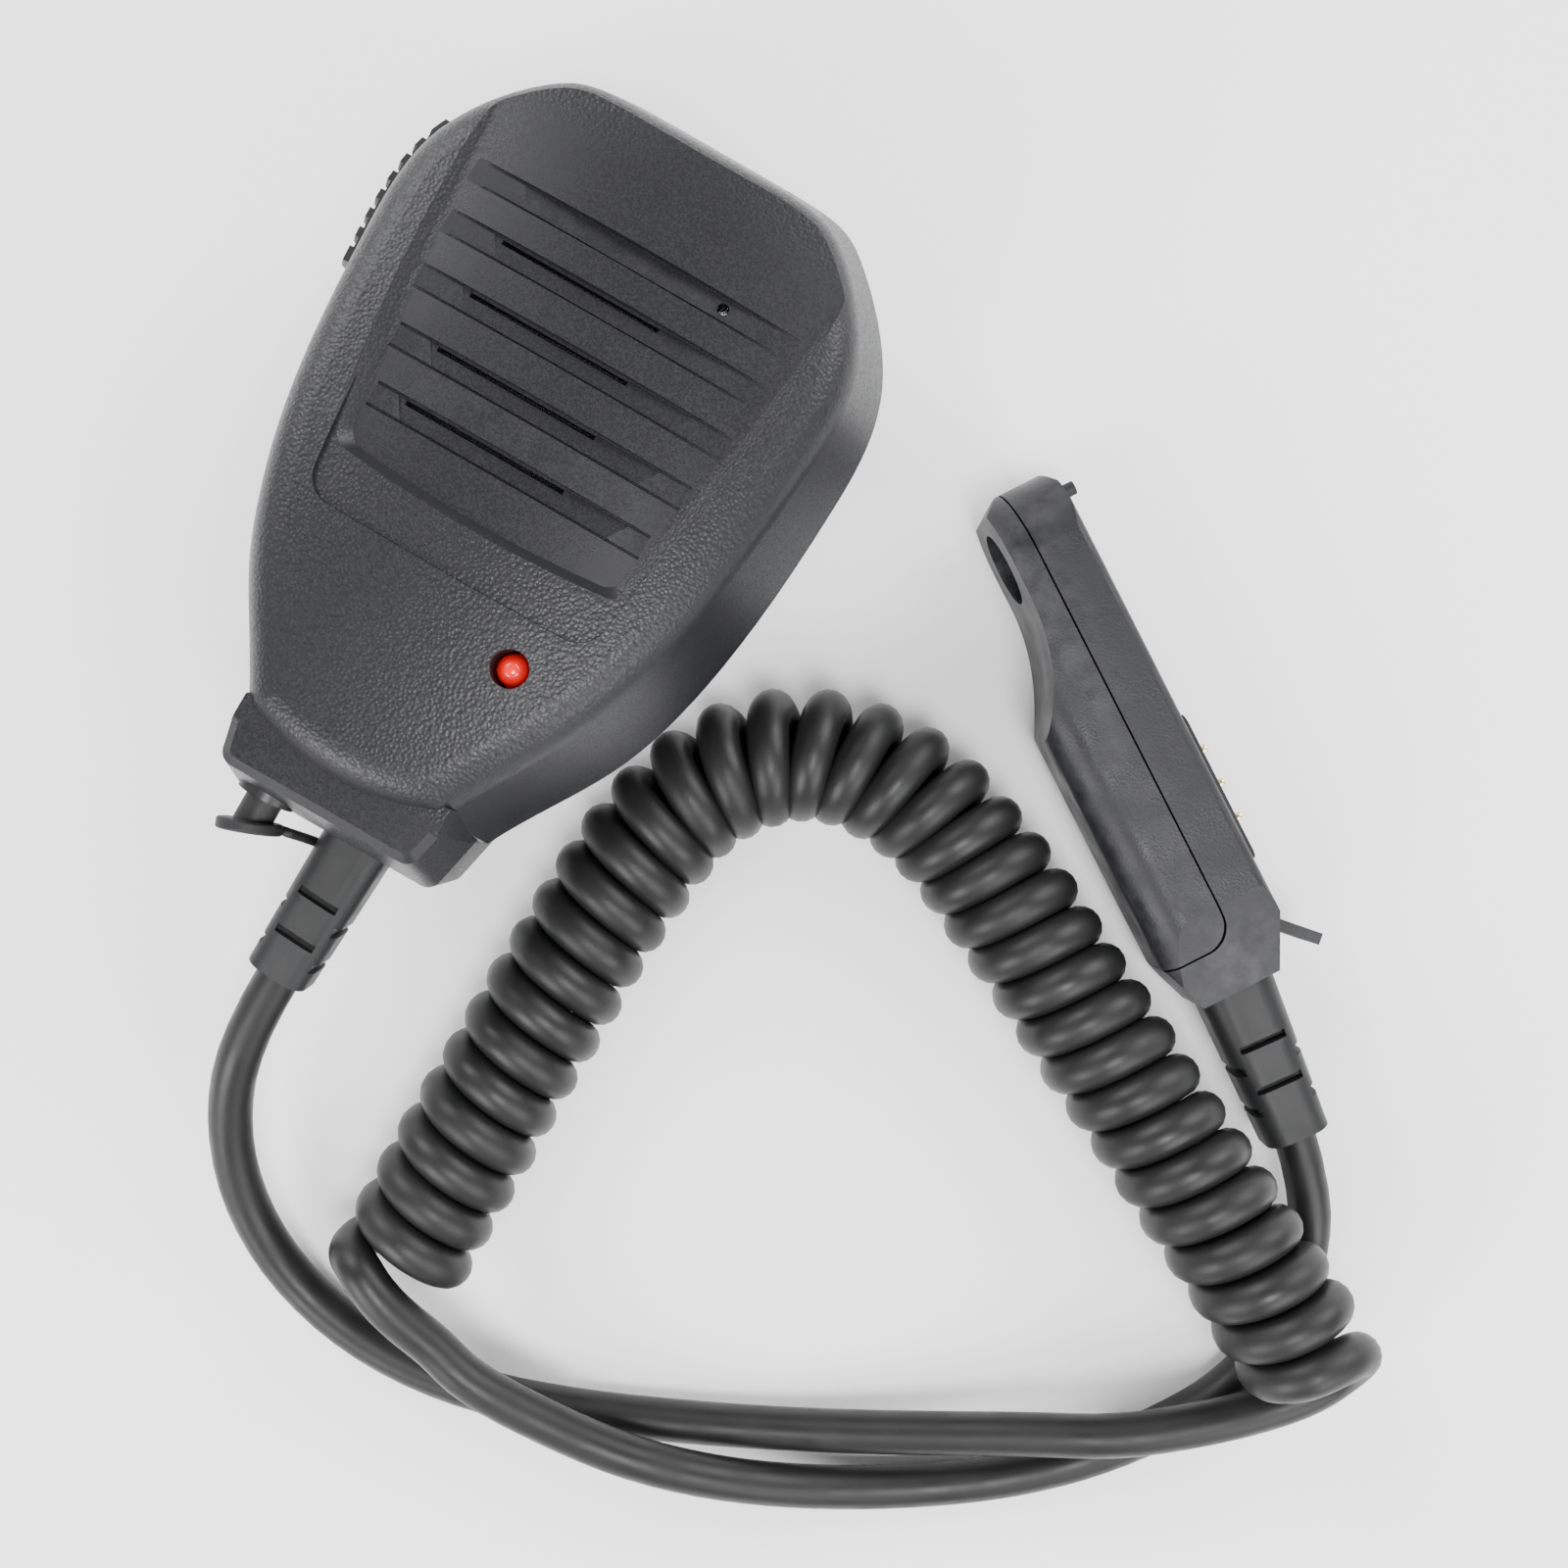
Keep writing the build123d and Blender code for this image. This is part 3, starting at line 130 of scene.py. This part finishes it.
class Surface:
    """Material whose colour, roughness and relief vary over the surface, in the object's own metres."""

    def __init__(self, name, roughness, metallic=0.0, coat=0.0, sheen=0.0, transmission=0.0, gloss=0.3):
        self.material = bpy.data.materials.new(name)
        self.material.use_nodes = True
        self.tree = self.material.node_tree
        self.shader = self.tree.nodes["Principled BSDF"]
        self.shader.inputs["Metallic"].default_value = metallic
        self.shader.inputs["Coat Weight"].default_value = coat
        self.shader.inputs["Sheen Weight"].default_value = sheen
        self.shader.inputs["Transmission Weight"].default_value = transmission
        self.shader.inputs["Roughness"].default_value = roughness
        self.shader.inputs["Specular IOR Level"].default_value = gloss
        self.roughness = roughness
        self.place = self.tree.nodes.new("ShaderNodeTexCoord")
        self.normal = None

    def node(self, kind, links=(), **values):
        """New node with its values set and its inputs linked."""
        made = self.tree.nodes.new(kind)
        for name, value in values.items():
            setattr(made, name, value)
        for socket, source in links:
            self.link(source, made.inputs[socket])
        return made

    def link(self, source, socket):
        if isinstance(source, (int, float, tuple)):
            socket.default_value = source
        else:
            self.tree.links.new(source, socket)

    def noise(self, size, detail=3.0, stretch=(1, 1, 1)):
        """Soft noise whose blotches are about size metres across."""
        scaled = self.node("ShaderNodeMapping", [("Vector", self.place.outputs["Object"])])
        scaled.inputs["Scale"].default_value = stretch
        links = [("Vector", scaled.outputs[0]), ("Scale", 1.0 / size), ("Detail", detail)]
        return self.node("ShaderNodeTexNoise", links).outputs["Fac"]

    def cells(self, size, smooth=0.6):
        """Rounded cells about size metres across: 0 in the middle of each."""
        links = [("Vector", self.place.outputs["Object"]), ("Scale", 1.0 / size), ("Smoothness", smooth)]
        return self.node("ShaderNodeTexVoronoi", links, feature="SMOOTH_F1").outputs["Distance"]

    def spread(self, value, low, high, to_low=0.0, to_high=1.0):
        """Value between two limits mapped to between two others."""
        limits = [("From Min", low), ("From Max", high), ("To Min", to_low), ("To Max", to_high)]
        return self.node("ShaderNodeMapRange", [("Value", value), *limits]).outputs["Result"]

    def math(self, operation, a, b):
        made = self.node("ShaderNodeMath", operation=operation)
        self.link(a, made.inputs[0])
        self.link(b, made.inputs[1])
        return made.outputs[0]

    def colours(self, value, stops):
        """Ramp through (position, colour) stops."""
        ramp = self.node("ShaderNodeValToRGB", [("Fac", value)])
        elements = ramp.color_ramp.elements
        while len(elements) < len(stops):
            elements.new(0.5)
        for element, (position, colour) in zip(elements, stops):
            element.position = position
            element.color = (*colour, 1.0)
        return ramp.outputs["Color"]

    def mix(self, factor, a, b):
        """Colour a with colour b over it where the factor is 1."""
        made = self.node("ShaderNodeMix", data_type="RGBA")
        self.link(factor, made.inputs["Factor"])
        self.link(a if not isinstance(a, tuple) else (*a, 1.0), made.inputs[COLOUR_A])
        self.link(b if not isinstance(b, tuple) else (*b, 1.0), made.inputs[COLOUR_B])
        return made.outputs[COLOUR_MIXED]

    def worn(self, colour, edge_colour, start=0.55, end=0.75):
        """Colour that is lighter where edges have rubbed."""
        edges = self.node("ShaderNodeNewGeometry").outputs["Pointiness"]
        patches = self.spread(self.noise(0.002), 0.35, 0.7)
        rubbed = self.math("MULTIPLY", self.spread(edges, start, end), patches)
        return self.mix(rubbed, colour, edge_colour)

    def relief(self, height, depth, strength=0.5):
        """Bump of a depth in metres, added to any bump already there."""
        links = [("Height", height), ("Distance", depth), ("Strength", strength)]
        if self.normal:
            links.append(("Normal", self.normal))
        self.normal = self.node("ShaderNodeBump", links).outputs["Normal"]

    def done(self, colour, rough_by=None, rough_change=0.08):
        """Links the colour, the roughness and the relief, and returns the material."""
        self.link(colour, self.shader.inputs["Base Color"])
        rough_by = rough_by or self.noise(0.004)
        low = max(0.02, self.roughness - rough_change)
        rough = self.spread(rough_by, 0.3, 0.7, low, min(1.0, self.roughness + rough_change))
        self.link(rough, self.shader.inputs["Roughness"])
        if self.normal:
            self.link(self.normal, self.shader.inputs["Normal"])
        return self.material


def shades(colour, change):
    """Darker and lighter versions of a colour, as ramp stops."""
    darker = tuple(c * (1 - change) for c in colour)
    lighter = tuple(min(1, c * (1 + change)) for c in colour)
    return [(0.3, darker), (0.7, lighter)]


def moulded(name, colour, roughness, cell, depth, wear, change=0.06, coat=0.0, sheen=0.0):
    """Moulded plastic or rubber: fine cells, faint blotches, and rubbed edges."""
    made = Surface(name, roughness, coat=coat, sheen=sheen)
    tone = made.colours(made.noise(0.006), shades(colour, change))
    made.relief(made.cells(cell), depth)
    made.relief(made.noise(cell * 6), depth, 0.2)
    return made.done(made.worn(tone, wear))


def metal(name, colour, roughness, stretch, change=0.15):
    """Drawn or plated metal: fine streaks along one way."""
    made = Surface(name, roughness, metallic=1.0)
    streaks = made.noise(0.0004, 4.0, stretch)
    made.relief(streaks, 0.000008)
    tone = made.colours(made.noise(0.003), shades(colour, change))
    return made.done(made.worn(tone, tuple(min(1, c * 1.25) for c in colour)), streaks, 0.12)


def shell_material():
    """Front and back shells: leather grain on the dome; the sunk panel, walls and collar nearly smooth."""
    made = Surface("shell_grained", 0.42)
    x, y = made.node("ShaderNodeSeparateXYZ", [("Vector", made.place.outputs["Object"])]).outputs[:2]
    facing = made.node("ShaderNodeSeparateXYZ", [("Vector", made.place.outputs["Normal"])]).outputs["Z"]
    upward = made.spread(facing, 0.45, 0.8)
    panel_foot, panel_widest, panel_top, fade = -0.0062, 0.0272, 0.030, 0.006
    foot_half, top_half, edge = 0.0145, 0.019, 0.0004
    collar_face, body_start = -0.0335, -0.0315
    half = made.spread(y, panel_foot, panel_widest, foot_half, top_half)
    beside = made.spread(made.math("SUBTRACT", made.math("ABSOLUTE", x, 0.0), half), -edge, edge)
    below = made.spread(y, panel_foot, panel_foot - 2 * edge)
    above = made.spread(y, panel_top, panel_top + fade)
    off_panel = made.math("MAXIMUM", beside, made.math("MAXIMUM", below, above))
    on_body = made.spread(y, collar_face, body_start)
    grained = made.math("MULTIPLY", made.math("MULTIPLY", upward, off_panel), on_body)
    cells = made.cells(0.00036, 0.4)
    fine = made.noise(0.00022, 2.0)
    made.relief(made.math("MULTIPLY", cells, grained), 0.00009, 0.6)
    made.relief(fine, 0.00002, 0.35)
    tone = made.colours(made.noise(0.009), shades((0.0100, 0.0100, 0.0118), 0.08))
    # Painted highlight: the raised tops of the grain cells on the dome are coloured lighter.
    grain_top_glints = made.math("MULTIPLY", grained, made.spread(cells, 0.55, 0.15))
    tone = made.mix(made.math("MULTIPLY", grain_top_glints, 0.3), tone, (0.035, 0.035, 0.04))
    rough = made.math("ADD", made.spread(fine, 0.3, 0.7, 0.0, 0.5), made.math("MULTIPLY", cells, 0.4))
    return made.done(made.worn(tone, (0.035, 0.035, 0.038)), rough, 0.1)


def lens_material():
    """Clear red lens with painted light: darker at its foot, lighter towards its top, and a faint painted
    glow.
    """
    made = Surface("red_lens", 0.08, coat=0.6, transmission=0.15)
    z = made.node("ShaderNodeSeparateXYZ", [("Vector", made.place.outputs["Object"])]).outputs["Z"]
    lens_foot, lens_top = 0.031, 0.0376
    # Painted shade and highlight: the colour runs from dark red at the lens's foot to light red at its top.
    painted_light_rise = made.spread(z, lens_foot, lens_top)
    tone = made.colours(painted_light_rise, [(0.0, (0.35, 0.01, 0.01)), (1.0, (0.85, 0.012, 0.01))])
    made.relief(made.noise(0.0006), 0.00001)
    # Painted glow: the lens gives off a little red light of its own.
    made.shader.inputs["Emission Color"].default_value = (0.9, 0.01, 0.005, 1.0)
    made.shader.inputs["Emission Strength"].default_value = 0.12
    return made.done(tone, rough_change=0.04)


def board_material():
    """Green solder mask over copper tracks."""
    made = Surface("board_green", 0.3, coat=0.3)
    links = [("Vector", made.place.outputs["Object"]), ("Scale", 700.0)]
    cells = made.node("ShaderNodeTexVoronoi", links, feature="DISTANCE_TO_EDGE", distance="EUCLIDEAN")
    lines = made.spread(cells.outputs["Distance"], 0.12, 0.04)
    tone = made.mix(lines, (0.03, 0.13, 0.05), (0.07, 0.27, 0.1))
    made.relief(lines, 0.00003)
    return made.done(tone)


def woven(name, colour, thread):
    """Plain weave of two sets of threads, or pressed fibre where the threads are fine."""
    made = Surface(name, 0.85, sheen=0.3)
    heights = []
    for direction in ("X", "Y"):
        links = [("Vector", made.place.outputs["Object"]), ("Scale", 0.16 / thread), ("Distortion", 0.4)]
        wave = made.node("ShaderNodeTexWave", links, wave_type="BANDS", bands_direction=direction)
        heights.append(wave.outputs["Fac"])
    weave = made.math("MULTIPLY", *heights)
    made.relief(weave, thread * 0.3, 0.8)
    # Painted shade: the colour is halved in the low parts of the weave, where the threads dip.
    tone = made.mix(made.spread(weave, 0.1, 0.8), tuple(c * 0.5 for c in colour), colour)
    return made.done(tone)


# Moulded finishes: colour, roughness, cell size, relief depth, colour of rubbed edges, and for some how much
# their blotches change the colour.
MOULDED = {
    "seal_rubber": ((0.010, 0.010, 0.0105), 0.62, 0.0002, 0.00001, (0.02, 0.02, 0.02)),
    "key_rubber": ((0.012, 0.012, 0.0135), 0.5, 0.00025, 0.00002, (0.03, 0.03, 0.033)),
    "switch_black": ((0.010, 0.010, 0.011), 0.35, 0.0002, 0.000008, (0.03, 0.03, 0.03)),
    "soft_rubber": ((0.012, 0.012, 0.013), 0.55, 0.0002, 0.000015, (0.03, 0.03, 0.032)),
    "relief_rubber": ((0.012, 0.0122, 0.013), 0.46, 0.0002, 0.00001, (0.03, 0.03, 0.032)),
    "clip_plastic": ((0.012, 0.012, 0.0135), 0.46, 0.0003, 0.00003, (0.03, 0.03, 0.033)),
    "plug_plastic": ((0.0110, 0.0110, 0.0130), 0.47, 0.00028, 0.00004, (0.06, 0.06, 0.064)),
    "white_plastic": ((0.72, 0.71, 0.67), 0.4, 0.0002, 0.000008, (0.85, 0.84, 0.82), 0.05),
    "lead_insulation": ((0.55, 0.06, 0.045), 0.35, 0.0002, 0.000006, (0.7, 0.2, 0.18), 0.2),
    "cord_jacket": ((0.0090, 0.0092, 0.0090), 0.44, 0.0003, 0.000012, (0.02, 0.02, 0.02), 0.15),
}

# Metals: colour, roughness, and how the streaks are stretched along each axis.
METALS = {
    "dark_steel": ((0.10, 0.10, 0.11), 0.38, (1, 1, 0.2)),
    "plated_steel": ((0.62, 0.61, 0.58), 0.3, (1, 0.1, 1)),
    "capsule_can": ((0.68, 0.68, 0.69), 0.28, (1, 1, 0.1)),
    "bright_steel": ((0.64, 0.64, 0.65), 0.22, (0.2, 1, 1)),
    "spring_steel": ((0.5, 0.5, 0.52), 0.3, (0.2, 1, 1)),
    "gold_contact": ((0.92, 0.78, 0.48), 0.24, (0.2, 1, 1)),
}

materials = {
    "shell_grained": shell_material(),
    "red_lens": lens_material(),
    "board_green": board_material(),
    "cloth": woven("cloth", (0.035, 0.035, 0.04), 0.0003),
    "paper": woven("paper", (0.13, 0.12, 0.10), 0.00015),
}
materials.update({name: moulded(name, *values) for name, values in MOULDED.items()})
materials.update({name: metal(name, *values) for name, values in METALS.items()})

for part in frame["record"]["subparts"]:
    node = nodes[part["node"]]
    node.data.materials.clear()
    node.data.materials.append(materials[part["material_slot"]])

floor_surface = Surface("floor_paper", 0.75)
floor_tone = floor_surface.colours(floor_surface.noise(0.4), [(0.3, (0.93,) * 3), (0.7, (0.95,) * 3)])
floor_surface.relief(floor_surface.noise(0.001), 0.00001, 0.2)
floor_mesh.materials.append(floor_surface.done(floor_tone))


# ---------------------------------------------------------------- cord
CORD_D = 4.7 * MM
COIL_R = 5.25 * MM  # control points' distance from the coil's own axis
EXIT = (1.1, -56.2, 17.0)

ROUTE_MIC = [
    EXIT, (0.58, -64.57, 15.64), (2.6, -74.5, 11.0), (8.0, -83.2, 6.2),
    (16.5, -89.2, 3.0), (27.5, -91.6, 2.4), (39.5, -90.6, 2.4), (51.5, -86.6, 2.4),
    (63.5, -81.3, 2.4), (75.5, -75.2, 3.0), (86.5, -68.5, 4.8), (96.5, -62.0, 6.9),
    (104.6, -57.2, 8.3), (111.6, -51.6, 8.4),
]
ONTO_COIL = [
    (117.3, -46.6, 7.8), (121.0, -42.2, 7.8), (122.4, -37.8, 9.0),
    (121.25, -35.2, 12.9), (118.9, -35.6, 16.5),
]
COIL_AXIS = [
    (26.5, -83.5, 7.6), (26.3, -66.0, 7.6), (26.4, -48.0, 7.6), (26.7, -31.0, 7.6),
    (28.6, -17.6, 7.6), (37.0, -8.2, 7.6), (49.5, -6.2, 7.6), (62.0, -10.6, 7.7),
    (77.5, -18.6, 8.8), (93.0, -26.4, 10.8), (107.0, -33.5, 12.6), (119.0, -39.9, 12.9),
]
OFF_COIL = [
    (20.9, -80.9, 9.4), (23.0, -81.0, 12.1), (26.0, -82.6, 12.2),
    (29.6, -84.0, 11.4), (34.5, -85.1, 10.2),
]
ROUTE_PLUG = [
    (39.5, -86.8, 9.8), (49.5, -87.0, 8.4), (59.5, -85.9, 8.1), (69.5, -83.6, 6.2),
    (79.5, -80.2, 3.4), (88.8, -75.2, 2.4), (97.2, -69.3, 2.4), (104.3, -62.8, 2.4),
    (109.9, -55.8, 2.4), (114.6, -48.1, 2.4), (116.5, -39.6, 2.4), (115.2, -31.1, 2.9),
    (111.3, -23.6, 4.9), (105.28, -18.36, 6.1),
]


def in_metres(points):
    return [Vector(p) * MM for p in points]


def nurbs(name, points, bevel=0.0, steps=12):
    """Curve object of one open smooth spline that starts and ends on its first and last points."""
    data = bpy.data.curves.new(name, "CURVE")
    data.dimensions = "3D"
    data.bevel_depth = bevel
    data.bevel_resolution = 6
    data.use_fill_caps = bevel > 0
    spline = data.splines.new("NURBS")
    spline.points.add(len(points) - 1)
    for place, p in zip(spline.points, points):
        place.co = (*p, 1.0)
    spline.order_u = 3
    spline.use_endpoint_u = True
    spline.resolution_u = steps
    obj = bpy.data.objects.new(name, data)
    scene.collection.objects.link(obj)
    return obj


def line_of(points, steps=12):
    """Points read from the smooth spline through a route."""
    guide = nurbs("guide", points, steps=steps)
    bpy.context.view_layer.update()
    graph = bpy.context.evaluated_depsgraph_get()
    mesh = bpy.data.meshes.new_from_object(guide.evaluated_get(graph))
    found = [v.co.copy() for v in mesh.vertices]
    bpy.data.meshes.remove(mesh)
    curve = guide.data
    bpy.data.objects.remove(guide)
    bpy.data.curves.remove(curve)
    if (found[0] - points[0]).length > (found[-1] - points[0]).length:
        found.reverse()
    return found


def along(line):
    """Distance along a line at each of its points."""
    distance = [0.0]
    for a, b in zip(line, line[1:]):
        distance.append(distance[-1] + (b - a).length)
    return distance


def at(line, distance, s):
    """Point and direction on a line at a distance from its start."""
    n = 1
    while n < len(line) - 1 and distance[n] < s:
        n += 1
    a, b = line[n - 1], line[n]
    part = (s - distance[n - 1]) / (distance[n] - distance[n - 1])
    return a.lerp(b, part), (b - a).normalized()


def nearest(line, distance, point):
    """Distance along a line of its point nearest to another point."""
    return min(zip(line, distance), key=lambda pair: (pair[0] - point).length)[1]


coil_line = line_of(in_metres(COIL_AXIS), 24)
coil_at = along(coil_line)
LEFT_END = (26.6, -80.2, 7.6)
RIGHT_END = (116.0, -38.2, 12.9)
left_ring = nearest(coil_line, coil_at, Vector(LEFT_END) * MM)
right_ring = nearest(coil_line, coil_at, Vector(RIGHT_END) * MM)
TURNS = 33.69
PER_TURN = 16


def ring_point(s, phase, radius):
    """Point at a phase round the coil's axis: 0 on top, a quarter turn on the inside of the coil's bend."""
    centre, forward = at(coil_line, coil_at, s)
    side = forward.cross(Vector((0, 0, 1))).normalized()
    up = side.cross(forward).normalized()
    return centre + up * math.cos(phase) * radius + side * math.sin(phase) * radius


def helix():
    """The coil's turns, from its end near the long run of cord to the end where the plug's run starts."""
    points = []
    count = round(TURNS * PER_TURN)
    for n in range(count + 1):
        part = n / count
        turn = part * TURNS
        s = right_ring + (left_ring - right_ring) * part
        loose = 1 + 0.012 * math.sin(1.7 * turn) + 0.01 * math.sin(0.61 * turn + 1.0)
        points.append(ring_point(s, 2 * math.pi * turn, COIL_R * loose))
    return points


cord_points = in_metres(ROUTE_MIC + ONTO_COIL) + helix() + in_metres(OFF_COIL + ROUTE_PLUG)
cord_length = along(line_of(cord_points))[-1]
cord = nurbs("cord", cord_points, CORD_D / 2, steps=4)
cord.data.materials.append(materials["cord_jacket"])
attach(cord, HOUSING)
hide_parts("cord_mic_end", "cord_coil", "cord_plug_end")


# ---------------------------------------------------------------- strap of the jack's cover
STRAP_WIDE = 1.5 * MM
STRAP_THICK = 0.9 * MM
STRAP_SIDES = 12
CAP_Y = -42.3 * MM  # where the strap leaves the cap
FOOT_Z = 13.1 * MM
FOOT_INSET = 0.7 * MM
FOOT_REACH = 4.2 * MM  # how far the foot goes into the collar
DROP = 3.5 * MM
BOW = 0.3 * MM


def strap():
    """Flat rubber strap from the cover's cap down to its foot in the collar."""
    low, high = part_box("jack_cover_strap")
    cap = Vector((low.x, CAP_Y, high.z))
    foot = Vector((high.x - FOOT_INSET, low.y + STRAP_WIDE / 2, FOOT_Z))
    bow = cap.lerp(foot, 0.35) + Vector((BOW, 0, 0))
    above_foot = foot + Vector((0, 0, DROP))
    line = line_of([cap, bow, above_foot, foot, foot + Vector((0, FOOT_REACH, 0))], 10)
    mesh = bmesh.new()
    rings = []
    for n, point in enumerate(line):
        forward = (line[min(n + 1, len(line) - 1)] - line[max(n - 1, 0)]).normalized()
        across = Vector((1, 0, 0)) if abs(forward.x) < 0.9 else Vector((0, 1, 0))
        across = (across - forward * across.dot(forward)).normalized()
        over = forward.cross(across)
        ring = []
        for k in range(STRAP_SIDES):
            turn = 2 * math.pi * (k + 0.5) / STRAP_SIDES
            flat = [math.copysign(abs(v) ** 0.5, v) for v in (math.cos(turn), math.sin(turn))]
            offset = across * flat[0] * STRAP_WIDE / 2 + over * flat[1] * STRAP_THICK / 2
            ring.append(mesh.verts.new(point + offset))
        rings.append(ring)
    for a, b in zip(rings, rings[1:]):
        for k in range(STRAP_SIDES):
            after = (k + 1) % STRAP_SIDES
            mesh.faces.new((a[k], a[after], b[after], b[k]))
    mesh.faces.new(reversed(rings[0]))
    mesh.faces.new(rings[-1])
    bmesh.ops.recalc_face_normals(mesh, faces=mesh.faces)
    data = bpy.data.meshes.new("cover_strap")
    mesh.to_mesh(data)
    mesh.free()
    data.polygons.foreach_set("use_smooth", [True] * len(data.polygons))
    obj = bpy.data.objects.new("cover_strap", data)
    scene.collection.objects.link(obj)
    data.materials.append(materials["soft_rubber"])
    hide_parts("jack_cover_strap")
    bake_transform(obj)


strap()
